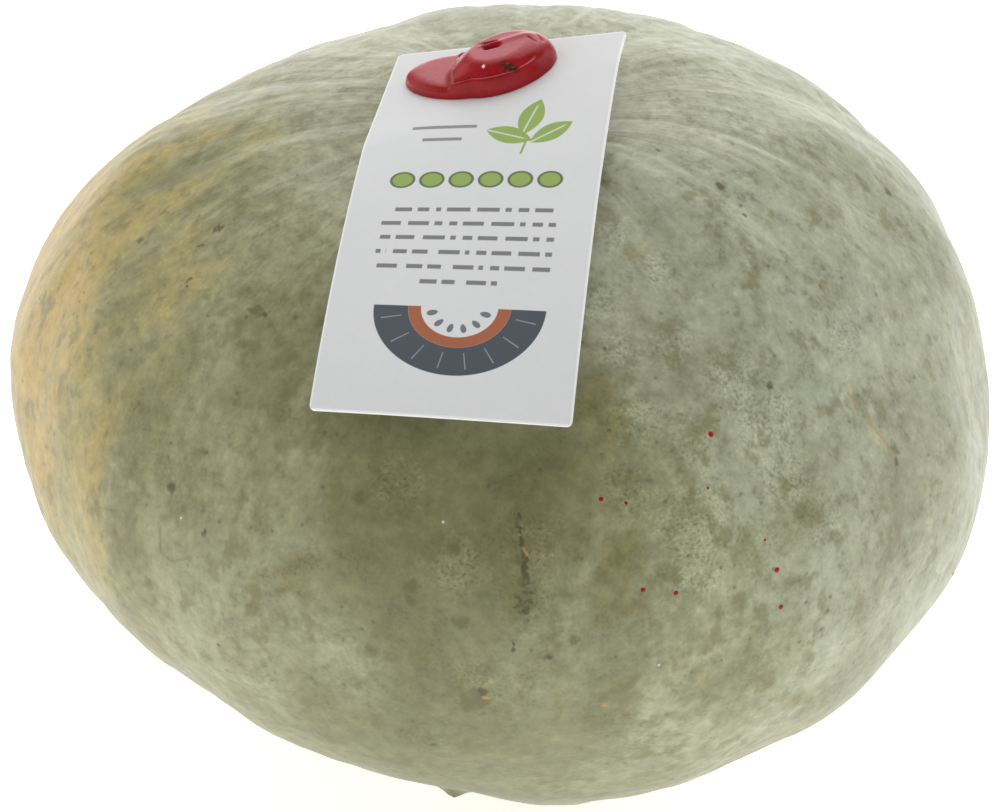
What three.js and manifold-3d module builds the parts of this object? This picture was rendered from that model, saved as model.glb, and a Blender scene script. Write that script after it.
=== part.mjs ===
// Chestnut squash as sold: one flattened fruit with faint ribs, the dry stem stub in the hollow on its top,
// a bent printed card hung over the stub, and a wax seal that holds the card on.
// Millimetres, +Z up, -Y to the front. The origin is on the flat spot that the fruit rests on, under its middle.

import * as THREE from 'three';
import { mergeVertices } from 'three/addons/utils/BufferGeometryUtils.js';
import Module from 'manifold-3d';

const wasm = await Module();
wasm.setup();

// Fruit: half width, height above and depth below its widest level, and how boxy each half's profile is.
const FRUIT_RADIUS = 113;
const FRUIT_TOP = 80.2;
const FRUIT_BOTTOM = 81.3;
const TOP_FULLNESS = 1.99;
const BOTTOM_FULLNESS = 1.93;
const REST_DEPTH = 82.1;        // flat spot, below the widest level
const STEM_X = -6.3;
const STEM_Y = -19.2;
const HOLLOW_DEPTH = 9.4;
const HOLLOW_WIDTH = 22.5;
const RIB_COUNT = 12;
const RIB_DEPTH = 0.9;
const LUMP_HEIGHT = 0.28;
const FRUIT_TURNS = 84;
const FRUIT_RINGS = 42;

// Broad swells of the fruit: azimuth from +X and latitude in degrees, spread in degrees, height.
const SWELLS = [
  { azimuth: -8, latitude: 4, spread: 30, height: -4.6 },
  { azimuth: 30, latitude: 45, spread: 28, height: 1.8 },
  { azimuth: 150, latitude: 42, spread: 30, height: -4.4 },
  { azimuth: 178, latitude: 8, spread: 26, height: 1.6 },
  { azimuth: 212, latitude: -45, spread: 28, height: -1.0 },
  { azimuth: -55, latitude: -58, spread: 28, height: 7.1 },
  { azimuth: -50, latitude: 58, spread: 22, height: 4.3 },
  { azimuth: -118, latitude: 47, spread: 16, height: -1.3 },
];

// Scar of the flower, low on the front.
const SCAR_AZIMUTH = -97;
const SCAR_LATITUDE = -45;
const SCAR_RADIUS = 3.4;
const SCAR_RISE = 1.6;

// Dry stem stub: half width at its foot and at its cut end, and its height above the hollow's floor.
const STUB_FOOT_RADIUS = 12.5;
const STUB_END_RADIUS = 4.9;
const STUB_SINK = 4;
const STUB_RIDGES = 5;
const STUB_RIDGE_DEPTH = 0.06;
const STUB_SIDES = 40;

// Card: a 50 x 100 mm tag, bent along lines that run askew to its sides.
const CARD_WIDTH = 50;
const CARD_LENGTH = 100;
const CARD_THICKNESS = 0.6;
const CARD_CORNER = 1.1;
const CARD_TOP = new THREE.Vector3(-6.0, -6.8, REST_DEPTH + 84.5);
const CARD_HEADING = 16.0;      // turn of the bend lines about +Z, degrees
const CARD_TILT = 17.7;         // rise of the bend lines to the right, degrees
const CARD_SKEW = -25.1;        // bend lines against the card's own width, degrees
const CARD_SLOPE = 3.1;         // fall of the flat upper stretch, degrees
const CARD_FLAT = 18.9;         // length of the flat upper stretch
const CARD_BEND = 9.8;          // turn of the bend, degrees
const CARD_BEND_LENGTH = 4.1;
const CARD_CURL = 0.265;        // curl below the bend, degrees per millimetre
const CARD_HOLE_RADIUS = 6.6;
const CARD_COLUMNS = 12;
const CARD_ROWS = 28;
const CORNER_ROWS = 3;

// Wax seal, in the card's own coordinates: a dome over the stub and a flat tongue to the left.
// `lean` is how far down an oval's long line falls for each millimetre across.
const DOME = { across: 0.8, down: 11.3, halfWidth: 10.6, halfLength: 9.2, lean: -0.25 };
const TONGUE = { across: -9, down: 13.3, halfWidth: 11.8, halfLength: 7, lean: 0.17 };
const DOME_HEIGHT = 5.9;
const TONGUE_HEIGHT = 2.7;
const DOME_CROWN = 0.5;         // where the dome's top starts to fall and where it has ended, in its radii
const DOME_END = 1.15;
const WAX_TURNS = 60;
const WAX_RINGS = 12;

const GAP = 0.3;                // clear space between pieces that touch
const GOLDEN_ANGLE = Math.PI * (3 - Math.sqrt(5));

const radians = THREE.MathUtils.degToRad;
const smoothstep = THREE.MathUtils.smoothstep;

function direction(azimuth, latitude) {
  const a = radians(azimuth);
  const b = radians(latitude);
  return new THREE.Vector3(Math.cos(b) * Math.cos(a), Math.cos(b) * Math.sin(a), Math.sin(b));
}

// Height of the broad swells where the line from the fruit's middle leaves along `unit`.
function swellHeight(unit) {
  let height = 0;
  for (const swell of SWELLS) {
    const angle = unit.angleTo(direction(swell.azimuth, swell.latitude));
    height += swell.height * Math.exp(-((angle / radians(swell.spread)) ** 2));
  }
  return height;
}

// Depth of the grooves between the ribs: narrow valleys that start by the stem, fade below the shoulder and
// end before the underside.
function grooveDepth(polar, turn) {
  const uneven = turn + 0.12 * Math.sin(turn + 1) + 0.07 * Math.sin(3 * turn + 2);
  const valley = (1 - Math.abs(Math.sin((RIB_COUNT * uneven) / 2))) ** 1.5;
  const start = smoothstep(polar, 0.08, 0.4);
  const shoulder = 1 - smoothstep(polar, 0.7, 1.5);
  const side = 1 - smoothstep(polar, 1.8, 2.6);
  return RIB_DEPTH * valley * start * (0.8 * shoulder + 0.2 * side);
}

// Low lumps all over: seven waves whose directions are a golden angle apart.
function lumpHeight(point) {
  let height = 0;
  for (let k = 0; k < 7; k += 1) {
    const rise = (k + 0.5) / 7;
    const level = Math.sqrt(1 - rise * rise);
    const wave = new THREE.Vector3(level * Math.cos(k * GOLDEN_ANGLE), level * Math.sin(k * GOLDEN_ANGLE), rise);
    height += Math.sin((point.dot(wave) * (2 * Math.PI)) / (30 + 4 * k) + 1.7 * k);
  }
  return LUMP_HEIGHT * height;
}

// A point of the fruit's skin: polar angle from the stem's end and turn about the stem.
function skinPoint(polar, turn) {
  const rise = Math.cos(polar);
  const upper = rise > 0;
  const fullness = upper ? TOP_FULLNESS : BOTTOM_FULLNESS;
  const level = FRUIT_RADIUS * Math.max(0, Math.sin(polar)) ** (2 / fullness);
  const shift = upper ? rise * rise : 0;
  const x = level * Math.cos(turn) + STEM_X * shift;
  const y = level * Math.sin(turn) + STEM_Y * shift;
  const reach = Math.min(Math.hypot(x, y) / FRUIT_RADIUS, 1);
  const z = upper
    ? FRUIT_TOP * (1 - reach ** fullness) ** (1 / fullness)
    : -FRUIT_BOTTOM * Math.abs(rise) ** (2 / fullness);
  const point = new THREE.Vector3(x, y, z);
  const unit = point.clone().normalize();
  point.addScaledVector(unit, swellHeight(unit) + lumpHeight(point) - grooveDepth(polar, turn));
  if (upper) {
    point.z -= HOLLOW_DEPTH * Math.exp(-((level / HOLLOW_WIDTH) ** 2));
  }
  point.z += REST_DEPTH;
  return point;
}

// Closed skin over rings of points, with one point at each end; the rings run anticlockwise about the way out
// of the first end.
function ringedGeometry(first, rings, last) {
  const count = rings[0].length;
  const points = [first, ...rings.flat(), last];
  const end = points.length - 1;
  const index = [];
  for (let j = 0; j < count; j += 1) {
    const k = (j + 1) % count;
    index.push(0, 1 + j, 1 + k);
    for (let i = 0; i + 1 < rings.length; i += 1) {
      const upper = 1 + i * count;
      const lower = upper + count;
      index.push(upper + j, lower + j, lower + k);
      index.push(upper + j, lower + k, upper + k);
    }
    const lowest = 1 + (rings.length - 1) * count;
    index.push(lowest + j, end, lowest + k);
  }
  const geometry = new THREE.BufferGeometry();
  geometry.setAttribute('position', new THREE.BufferAttribute(new Float32Array(points.flatMap((p) => p.toArray())), 3));
  geometry.setIndex(index);
  return geometry;
}

function toSolid(geometry) {
  const bare = geometry.clone();
  bare.deleteAttribute('normal');
  bare.deleteAttribute('uv');
  const merged = mergeVertices(bare, 1e-4);
  return new wasm.Manifold(new wasm.Mesh({
    numProp: 3,
    vertProperties: new Float32Array(merged.attributes.position.array),
    triVerts: new Uint32Array(merged.index.array),
  }));
}

function toGeometry(solid) {
  const mesh = solid.getMesh();
  const geometry = new THREE.BufferGeometry();
  geometry.setAttribute('position', new THREE.BufferAttribute(new Float32Array(mesh.vertProperties), 3));
  geometry.setIndex(new THREE.BufferAttribute(new Uint32Array(mesh.triVerts), 1));
  return geometry;
}

function fruitSolid() {
  const rings = [];
  for (let i = 1; i < FRUIT_RINGS; i += 1) {
    const polar = (Math.PI * i) / FRUIT_RINGS;
    rings.push(Array.from({ length: FRUIT_TURNS }, (_, j) => skinPoint(polar, (2 * Math.PI * j) / FRUIT_TURNS)));
  }
  const skin = toSolid(ringedGeometry(skinPoint(0, 0), rings, skinPoint(Math.PI, 0)));

  const outward = direction(SCAR_AZIMUTH, SCAR_LATITUDE);
  const middle = new THREE.Vector3(0, 0, REST_DEPTH);
  const ray = new THREE.Raycaster(middle.clone().addScaledVector(outward, 2 * FRUIT_RADIUS), outward.clone().negate());
  const target = new THREE.Mesh(toGeometry(skin), new THREE.MeshBasicMaterial());
  const seat = ray.intersectObject(target)[0].point;
  const knob = new THREE.SphereGeometry(SCAR_RADIUS, 16, 10);
  const place = seat.addScaledVector(outward, SCAR_RISE - SCAR_RADIUS);
  knob.translate(place.x, place.y, place.z);

  const ground = new THREE.BoxGeometry(4 * FRUIT_RADIUS, 4 * FRUIT_RADIUS, FRUIT_RADIUS);
  ground.translate(0, 0, -FRUIT_RADIUS / 2);
  return skin.add(toSolid(knob)).subtract(toSolid(ground));
}

// Where a stretch of the bent card ends: forward and down from its start, and the slope there.
function bendPlace(distance) {
  const stretches = [
    { length: CARD_FLAT, curl: 0 },
    { length: CARD_BEND_LENGTH, curl: radians(CARD_BEND) / CARD_BEND_LENGTH },
    { length: 2 * CARD_LENGTH, curl: radians(CARD_CURL) },
  ];
  let slope = radians(CARD_SLOPE);
  let forward = 0;
  let drop = 0;
  let left = distance;
  for (const { length, curl } of stretches) {
    const run = Math.min(left, length);
    const turned = slope + curl * run;
    forward += curl === 0 ? run * Math.cos(slope) : (Math.sin(turned) - Math.sin(slope)) / curl;
    drop += curl === 0 ? run * Math.sin(slope) : (Math.cos(slope) - Math.cos(turned)) / curl;
    slope = turned;
    left -= run;
    if (left <= 0) break;
  }
  return { forward, drop, slope };
}

// A point by the card: across from its middle line, down from its top edge, and above its middle surface.
function cardPoint(across, down, above) {
  const skew = radians(CARD_SKEW);
  const heading = radians(CARD_HEADING);
  const tilt = radians(CARD_TILT);
  const line = new THREE.Vector3(Math.cos(heading) * Math.cos(tilt), Math.sin(heading) * Math.cos(tilt), Math.sin(tilt));
  const ahead = new THREE.Vector3(Math.sin(heading), -Math.cos(heading), 0);
  const up = new THREE.Vector3().crossVectors(line, ahead.clone().negate()).normalize();
  const along = across * Math.cos(skew) + down * Math.sin(skew);
  const { forward, drop, slope } = bendPlace(down * Math.cos(skew) - across * Math.sin(skew));
  return CARD_TOP.clone()
    .addScaledVector(line, along)
    .addScaledVector(ahead, forward + above * Math.sin(slope))
    .addScaledVector(up, above * Math.cos(slope) - drop);
}

// Distances of the card's rows from its top edge: a few round each corner, the rest even between them.
function cardRows() {
  const rows = [];
  for (let i = 0; i < CORNER_ROWS; i += 1) {
    rows.push(CARD_CORNER * (1 - Math.cos((Math.PI / 2) * (i / CORNER_ROWS))));
  }
  const even = CARD_ROWS - 2 * CORNER_ROWS;
  for (let i = 0; i <= even; i += 1) {
    rows.push(CARD_CORNER + ((CARD_LENGTH - 2 * CARD_CORNER) * i) / even);
  }
  for (let i = CORNER_ROWS - 1; i >= 0; i -= 1) {
    rows.push(CARD_LENGTH - rows[i]);
  }
  return rows;
}

function cardSolid() {
  const rows = cardRows();
  const sheet = new THREE.BoxGeometry(1, 1, CARD_THICKNESS, CARD_COLUMNS, CARD_ROWS, 1);
  const place = sheet.attributes.position;
  for (let i = 0; i < place.count; i += 1) {
    const down = rows[Math.round((0.5 - place.getY(i)) * CARD_ROWS)];
    const inset = Math.max(0, CARD_CORNER - Math.min(down, CARD_LENGTH - down));
    const half = CARD_WIDTH / 2 - CARD_CORNER + Math.sqrt(CARD_CORNER ** 2 - inset ** 2);
    const point = cardPoint(2 * place.getX(i) * half, down, place.getZ(i));
    place.setXYZ(i, point.x, point.y, point.z);
  }
  const hole = new THREE.CylinderGeometry(CARD_HOLE_RADIUS, CARD_HOLE_RADIUS, 30, 40);
  hole.rotateX(Math.PI / 2);
  hole.translate(STEM_X, STEM_Y, CARD_TOP.z);
  return toSolid(sheet).subtract(toSolid(hole));
}

// Stub turned about the stem's line: a flared foot, a narrow neck and a rounded cut end, with low ridges.
// `grow` widens and lengthens it, for the room that the wax leaves round it.
function stubSolid(grow) {
  const foot = skinPoint(0, 0).z;
  const height = CARD_TOP.z - foot + 1.5;
  const outline = new THREE.CubicBezierCurve(
    new THREE.Vector2(STUB_FOOT_RADIUS, 0),
    new THREE.Vector2(STUB_FOOT_RADIUS * 0.62, height * 0.18),
    new THREE.Vector2(STUB_END_RADIUS * 1.15, height * 0.45),
    new THREE.Vector2(STUB_END_RADIUS, height - 1),
  );
  const profile = [new THREE.Vector2(0, -STUB_SINK), new THREE.Vector2(STUB_FOOT_RADIUS, -STUB_SINK)];
  for (const point of outline.getPoints(9)) {
    profile.push(new THREE.Vector2(point.x + grow, point.y));
  }
  profile.push(new THREE.Vector2(STUB_END_RADIUS * 0.8 + grow, height - 0.3 + grow));
  profile.push(new THREE.Vector2(0, height + grow));
  const stub = new THREE.LatheGeometry(profile, STUB_SIDES);
  stub.rotateX(Math.PI / 2);
  const place = stub.attributes.position;
  for (let i = 0; i < place.count; i += 1) {
    const x = place.getX(i);
    const y = place.getY(i);
    const ridge = 1 + STUB_RIDGE_DEPTH * Math.cos(STUB_RIDGES * Math.atan2(y, x));
    place.setXYZ(i, STEM_X + x * ridge, STEM_Y + y * ridge, place.getZ(i) + foot);
  }
  return toSolid(stub);
}

// How far a ray from the dome's middle runs before it leaves an oval.
function ovalReach(oval, turn) {
  const stepX = Math.cos(turn) / oval.halfWidth;
  const stepY = (Math.sin(turn) - oval.lean * Math.cos(turn)) / oval.halfLength;
  const startX = (DOME.across - oval.across) / oval.halfWidth;
  const startY = (DOME.down - oval.down - oval.lean * (DOME.across - oval.across)) / oval.halfLength;
  const a = stepX ** 2 + stepY ** 2;
  const b = startX * stepX + startY * stepY;
  const c = startX ** 2 + startY ** 2 - 1;
  const under = b * b - a * c;
  return under < 0 ? 0 : (Math.sqrt(under) - b) / a;
}

// Height of the wax over the card at a part `share` of the way out to its edge.
function waxHeight(across, down, share) {
  const aside = across - DOME.across;
  const fromDome = Math.hypot(aside / DOME.halfWidth, (down - DOME.down - DOME.lean * aside) / DOME.halfLength);
  const dome = 1 - smoothstep(fromDome, DOME_CROWN, DOME_END);
  return (TONGUE_HEIGHT + (DOME_HEIGHT - TONGUE_HEIGHT) * dome) * Math.sqrt(Math.max(0, 1 - share ** 4));
}

function waxSolid() {
  const base = CARD_THICKNESS / 2 + GAP;
  const ring = (share, lift) => Array.from({ length: WAX_TURNS }, (_, j) => {
    const turn = (2 * Math.PI * j) / WAX_TURNS;
    const reach = share * Math.max(ovalReach(DOME, turn), ovalReach(TONGUE, turn));
    const across = DOME.across + reach * Math.cos(turn);
    const down = DOME.down + reach * Math.sin(turn);
    return cardPoint(across, down, base + lift * waxHeight(across, down, share));
  });
  const rings = [];
  for (let i = 1; i <= WAX_RINGS; i += 1) {
    rings.push(ring(Math.sin((Math.PI / 2) * (i / WAX_RINGS)), 1).reverse());
  }
  for (const share of [0.66, 0.33]) {
    rings.push(ring(share, 0).reverse());
  }
  const crown = cardPoint(DOME.across, DOME.down, base + waxHeight(DOME.across, DOME.down, 0));
  const under = cardPoint(DOME.across, DOME.down, base);
  return toSolid(ringedGeometry(crown, rings, under)).subtract(stubSolid(GAP));
}

function piece(name, solid, color, roughness) {
  const mesh = new THREE.Mesh(
    toGeometry(solid),
    new THREE.MeshStandardMaterial({ color, roughness, metalness: 0, side: THREE.FrontSide }),
  );
  mesh.name = name;
  return mesh;
}

const fruit = fruitSolid();
const stub = stubSolid(0).subtract(fruit.translate([0, 0, GAP]));

const squash = new THREE.Group();
squash.add(
  piece('squash', fruit, 0x9aa084, 0.5),
  piece('stem', stub, 0x8a7350, 0.85),
  piece('label_card', cardSolid(), 0xf4f5f3, 0.45),
  piece('wax_seal', waxSolid(), 0x9c1c30, 0.3),
);

export default squash;
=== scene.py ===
import math

import bpy
import numpy as np
from mathutils import Matrix, Vector


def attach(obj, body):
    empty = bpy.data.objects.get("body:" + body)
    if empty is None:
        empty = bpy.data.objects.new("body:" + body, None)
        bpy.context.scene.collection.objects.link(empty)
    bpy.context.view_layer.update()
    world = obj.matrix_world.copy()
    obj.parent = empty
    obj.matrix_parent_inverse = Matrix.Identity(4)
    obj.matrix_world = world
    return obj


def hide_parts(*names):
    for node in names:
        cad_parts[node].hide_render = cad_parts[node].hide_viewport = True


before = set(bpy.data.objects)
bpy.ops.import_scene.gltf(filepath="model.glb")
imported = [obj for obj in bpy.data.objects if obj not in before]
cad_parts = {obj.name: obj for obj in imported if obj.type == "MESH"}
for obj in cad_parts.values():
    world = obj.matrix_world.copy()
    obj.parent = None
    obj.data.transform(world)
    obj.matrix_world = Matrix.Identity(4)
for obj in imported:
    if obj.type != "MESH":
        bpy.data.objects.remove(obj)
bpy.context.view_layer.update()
MM = 0.001

# The camera stands to the front, well above the fruit, and is held a few degrees askew, as the picture
# shows it: the fruit's upright leans to the right. It aims a little low and left of the fruit's middle.
FRUIT_MIDDLE = Vector((0.0, 0.0, 82.1 * MM))
CAMERA_DISTANCE = 581 * MM
CAMERA_RISE = math.radians(30)
CAMERA_LEAN = math.radians(4.3)
AIM_LEFT = 2.9 * MM
AIM_LOW = 7.1 * MM
LENS_WIDTHS = 2.521             # focal length over the picture's width

back = Vector((0, -math.cos(CAMERA_RISE), math.sin(CAMERA_RISE)))
right = Vector((1, 0, 0))
up = back.cross(right)
eye = FRUIT_MIDDLE + back * CAMERA_DISTANCE
aim = FRUIT_MIDDLE - right * AIM_LEFT - up * AIM_LOW
sight = (eye - aim).normalized()
side = up.cross(sight).normalized()
rise = sight.cross(side)
tilted_side = side * math.cos(CAMERA_LEAN) + rise * math.sin(CAMERA_LEAN)
tilted_rise = rise * math.cos(CAMERA_LEAN) - side * math.sin(CAMERA_LEAN)
camera_data = bpy.data.cameras.new("camera")
camera_data.sensor_width = 36
camera_data.lens = LENS_WIDTHS * camera_data.sensor_width
camera_data.clip_start = 0.01
camera = bpy.data.objects.new("camera", camera_data)
camera_turn = Matrix((tilted_side, tilted_rise, sight)).transposed()
camera.matrix_world = Matrix.Translation(eye) @ camera_turn.to_4x4()
bpy.context.collection.objects.link(camera)
bpy.context.scene.camera = camera
bpy.context.scene.view_settings.view_transform = "Standard"

# A pale floor with no edge in sight, and the soft light of a white tent: bright from above, from behind
# and at both sides. Two weak low lamps beside the camera lift the fruit's lower sides; nothing shines
# straight from the front, so that the fruit's middle is the darker part and its rims are pale.
FLOOR_REACH = 6.0


def soft_light(name, place, target, size, power, mirrored=True):
    """A square lamp `size` metres wide at `place`, facing `target`; if not `mirrored`, gloss hides it."""
    data = bpy.data.lights.new(name, "AREA")
    data.shape = "SQUARE"
    data.size = size
    data.energy = power
    lamp = bpy.data.objects.new(name, data)
    lamp.location = place
    lamp.visible_glossy = mirrored
    lamp.rotation_euler = (Vector(target) - Vector(place)).to_track_quat("-Z", "Y").to_euler()
    bpy.context.collection.objects.link(lamp)


soft_light("top_light", (0, 0.5, 1.5), FRUIT_MIDDLE, 1.6, 13)
soft_light("left_light", (-1.4, 0.35, 0.5), FRUIT_MIDDLE, 1.3, 5.5)
soft_light("right_light", (1.4, 0.35, 0.5), FRUIT_MIDDLE, 1.3, 5.8)
soft_light("back_light", (0, 1.6, 0.6), FRUIT_MIDDLE, 1.6, 11)
soft_light("low_left_light", (-1.0, -1.2, 0.14), FRUIT_MIDDLE, 0.9, 4.0, mirrored=False)
soft_light("low_right_light", (1.0, -1.2, 0.14), FRUIT_MIDDLE, 0.9, 4.0, mirrored=False)

world = bpy.data.worlds.new("tent")
world.use_nodes = True
world.node_tree.nodes["Background"].inputs["Color"].default_value = (1, 1, 1, 1)
world.node_tree.nodes["Background"].inputs["Strength"].default_value = 0.3
bpy.context.scene.world = world

floor_mesh = bpy.data.meshes.new("floor")
floor_mesh.from_pydata(
    [(-FLOOR_REACH, -FLOOR_REACH, 0), (FLOOR_REACH, -FLOOR_REACH, 0),
     (FLOOR_REACH, FLOOR_REACH, 0), (-FLOOR_REACH, FLOOR_REACH, 0)], [], [(0, 1, 2, 3)])
floor = bpy.data.objects.new("floor", floor_mesh)
bpy.context.collection.objects.link(floor)
floor_finish = bpy.data.materials.new("floor_white")
floor_finish.use_nodes = True
floor_shader = floor_finish.node_tree.nodes["Principled BSDF"]
floor_shader.inputs["Base Color"].default_value = (0.92, 0.92, 0.92, 1)
floor_shader.inputs["Roughness"].default_value = 0.8
floor_shader.inputs["Emission Color"].default_value = (1, 1, 1, 1)
floor_shader.inputs["Emission Strength"].default_value = 0.68
floor_mesh.materials.append(floor_finish)

# The fruit: one grown piece with a thin hard rind under a dull wax bloom. Broad swells, twelve uneven ribs
# that fade down the sides and low lumps give its form; fine ridges run from the stem, as on any such rind,
# and the scar of the flower is a small nub under the front.
FRUIT_RADIUS = 113.0
FRUIT_TOP = 80.2
FRUIT_BOTTOM = 81.3
TOP_FULLNESS = 1.99
BOTTOM_FULLNESS = 1.93
REST_DEPTH = 82.1
STEM_X = -6.3
STEM_Y = -19.2
HOLLOW_DEPTH = 9.4
HOLLOW_WIDTH = 22.5
RIB_COUNT = 12
RIB_DEPTH = 0.9
LUMP_HEIGHT = 0.28
FINE_LUMP_HEIGHT = 0.11
FINE_RIDGE_HEIGHT = 0.11
FRUIT_TURNS = 432
FRUIT_RINGS = 216
GOLDEN_ANGLE = math.pi * (3 - math.sqrt(5))
# Azimuth from +X, latitude, spread (degrees) and height of each broad swell.
SWELLS = (
    (-8, 4, 30, -4.6), (30, 45, 28, 1.8), (150, 42, 30, -4.4), (178, 8, 26, 1.6),
    (212, -45, 28, -1.0), (-55, -58, 28, 7.1), (-50, 58, 22, 4.3), (-118, 47, 16, -1.3),
)
SCAR_AZIMUTH = -94.3
SCAR_LATITUDE = -33
SCAR_RADIUS = 3.4
SCAR_RISE = 2.6
SCAR_DISTANCE = 95                      # from the fruit's middle, about


def direction(azimuth, latitude):
    """The unit vector at an azimuth from +X and a latitude, both in degrees."""
    a = math.radians(azimuth)
    b = math.radians(latitude)
    return np.array((math.cos(b) * math.cos(a), math.cos(b) * math.sin(a), math.sin(b)))


def smooth(value, low, high):
    """0 up to `low`, 1 from `high` on, and 3t^2 - 2t^3 of the way t between them."""
    t = np.clip((value - low) / (high - low), 0, 1)
    return t * t * (3 - 2 * t)


def waves(points, count, shortest, step, phase):
    """Sum of `count` sine waves, their directions a golden angle apart, each longer by `step`."""
    total = np.zeros(points.shape[:-1])
    for k in range(count):
        lift = (k + 0.5) / count
        level = math.sqrt(1 - lift * lift)
        along = np.array((level * math.cos(k * GOLDEN_ANGLE), level * math.sin(k * GOLDEN_ANGLE), lift))
        total += np.sin(points @ along * 2 * math.pi / (shortest + step * k) + phase * k)
    return total


def skin_points(polar, turn):
    """The fruit's skin in millimetres. A superellipse turned about the fruit's line, with its grid's pole
    slid to the stem, pushed out along the line from the middle by the swells and the lumps, and in by the
    valleys between the ribs; the hollow is a bell curve about the stem, taken off the top."""
    lift = np.cos(polar)
    upper = lift > 0
    fullness = np.where(upper, TOP_FULLNESS, BOTTOM_FULLNESS)
    level = FRUIT_RADIUS * np.maximum(0, np.sin(polar)) ** (2 / fullness)
    shift = np.where(upper, lift * lift, 0)
    x = level * np.cos(turn) + STEM_X * shift
    y = level * np.sin(turn) + STEM_Y * shift
    reach = np.minimum(np.hypot(x, y) / FRUIT_RADIUS, 1)
    z = np.where(
        upper,
        FRUIT_TOP * (1 - reach ** TOP_FULLNESS) ** (1 / TOP_FULLNESS),
        -FRUIT_BOTTOM * np.abs(lift) ** (2 / BOTTOM_FULLNESS))
    points = np.stack((x, y, z), axis=-1)
    unit = points / np.linalg.norm(points, axis=-1, keepdims=True)
    out = LUMP_HEIGHT * waves(points, 7, 30, 4, 1.7)
    for azimuth, latitude, spread, height in SWELLS:
        angle = np.arccos(np.clip(unit @ direction(azimuth, latitude), -1, 1))
        out += height * np.exp(-(angle / math.radians(spread)) ** 2)
    uneven = turn + 0.12 * np.sin(turn + 1) + 0.07 * np.sin(3 * turn + 2)
    valley = (1 - np.abs(np.sin(RIB_COUNT * uneven / 2))) ** 1.5
    shoulder = 1 - smooth(polar, 0.7, 1.5)
    flank = 1 - smooth(polar, 1.8, 2.6)
    out -= RIB_DEPTH * valley * smooth(polar, 0.08, 0.4) * (0.8 * shoulder + 0.2 * flank)
    points = points + out[..., None] * unit
    points[..., 2] -= np.where(upper, HOLLOW_DEPTH * np.exp(-(level / HOLLOW_WIDTH) ** 2), 0)
    points[..., 2] += REST_DEPTH
    return points


def mottle(points, shortest, phase):
    """A random-looking field, about -1 to 1: nine waves over places that longer waves have shifted."""
    shift = np.stack(
        [waves(points, 7, 1.7 * shortest, 0.35 * shortest, phase + k) for k in (1, 2, 3)], axis=-1)
    return waves(points + 0.12 * shortest * shift, 9, shortest, 0.13 * shortest, phase) / 3


def fine_ridges(polar, turn):
    """Height of the narrow ridges that run down from the stem: three waves round the fruit whose phases
    drift with the depth below the stem, strongest on the shoulder and broken up by a slower field."""
    drift = 0.5 * np.sin(2.1 * polar) + 0.25 * np.sin(5 * polar + 1)
    ridges = np.sin(31 * turn + 3 * drift) + 0.8 * np.sin(47 * turn - 4 * drift + 1)
    ridges += 0.6 * np.sin(73 * turn + 5 * drift + 2)
    gather = smooth(polar, 0.15, 0.45) * (1 - 0.75 * smooth(polar, 0.8, 1.4)) * (1 - smooth(polar, 1.9, 2.7))
    around = 60 * np.stack((np.cos(turn), np.sin(turn), polar), axis=-1)
    broken = 0.5 + 0.5 * mottle(around, 13, 2.2)
    return FINE_RIDGE_HEIGHT * ridges * gather * broken


def new_piece(name, points, faces):
    """A smooth object at the origin from points in millimetres and lists of the faces' corners."""
    mesh = bpy.data.meshes.new(name)
    mesh.from_pydata((points * MM).tolist(), [], faces)
    mesh.shade_smooth()
    piece = bpy.data.objects.new(name, mesh)
    bpy.context.collection.objects.link(piece)
    return piece


def ring_faces(count, turns):
    """The walls' and the ends' corners for `count` rings of `turns` points each, with one point before the
    rings at the top and one after them at the foot; each ring is counter-clockwise seen from the top."""
    here = np.arange(turns)
    after = (here + 1) % turns
    upper = 1 + np.arange(count - 1)[:, None] * turns
    lower = upper + turns
    walls = np.stack((upper + here, lower + here, lower + after, upper + after), axis=-1).reshape(-1, 4)
    final = 1 + (count - 1) * turns
    cap = np.stack((np.zeros(turns, int), 1 + here, 1 + after), axis=-1)
    foot = np.stack((final + here, np.full(turns, 1 + count * turns), final + after), axis=-1)
    return walls, np.concatenate((cap, foot))


def closed_rings(name, first, rings, last):
    """A closed piece over an array of rings (ring, place, xyz) and a point at either end."""
    points = np.vstack((first[None], rings.reshape(-1, 3), last[None]))
    walls, ends = ring_faces(*rings.shape[:2])
    return new_piece(name, points, walls.tolist() + ends.tolist())


polar, turn = np.meshgrid(
    np.pi * np.arange(1, FRUIT_RINGS) / FRUIT_RINGS,
    2 * np.pi * np.arange(FRUIT_TURNS) / FRUIT_TURNS, indexing="ij")
skin = skin_points(polar, turn)
outward = skin - (0, 0, REST_DEPTH)
outward /= np.linalg.norm(outward, axis=-1, keepdims=True)
skin += (fine_ridges(polar, turn) + FINE_LUMP_HEIGHT * mottle(skin, 8, 2.3))[..., None] * outward
scar_angle = np.arccos(np.clip(outward @ direction(SCAR_AZIMUTH, SCAR_LATITUDE), -1, 1))
scar_place = scar_angle * SCAR_DISTANCE / SCAR_RADIUS
skin += (SCAR_RISE * (1 - smooth(scar_place, -0.3, 1.3)) ** 1.3)[..., None] * outward
skin[..., 2] = np.maximum(skin[..., 2], 0)
ends = skin_points(np.array((0.0, math.pi)), np.array((0.0, 0.0)))
ends[1, 2] = 0
fruit = closed_rings("rind", ends[0], skin, ends[1])
# The marks' places are found by rays, which meet the fruit only once the scene is up to date.
bpy.context.view_layer.update()


def store(piece, name, values):
    """Stores a vector for each of the piece's points, for its material to read."""
    layer = piece.data.attributes.new(name, "FLOAT_VECTOR", "POINT")
    layer.data.foreach_set("vector", np.asarray(values, np.float32).ravel())


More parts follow.
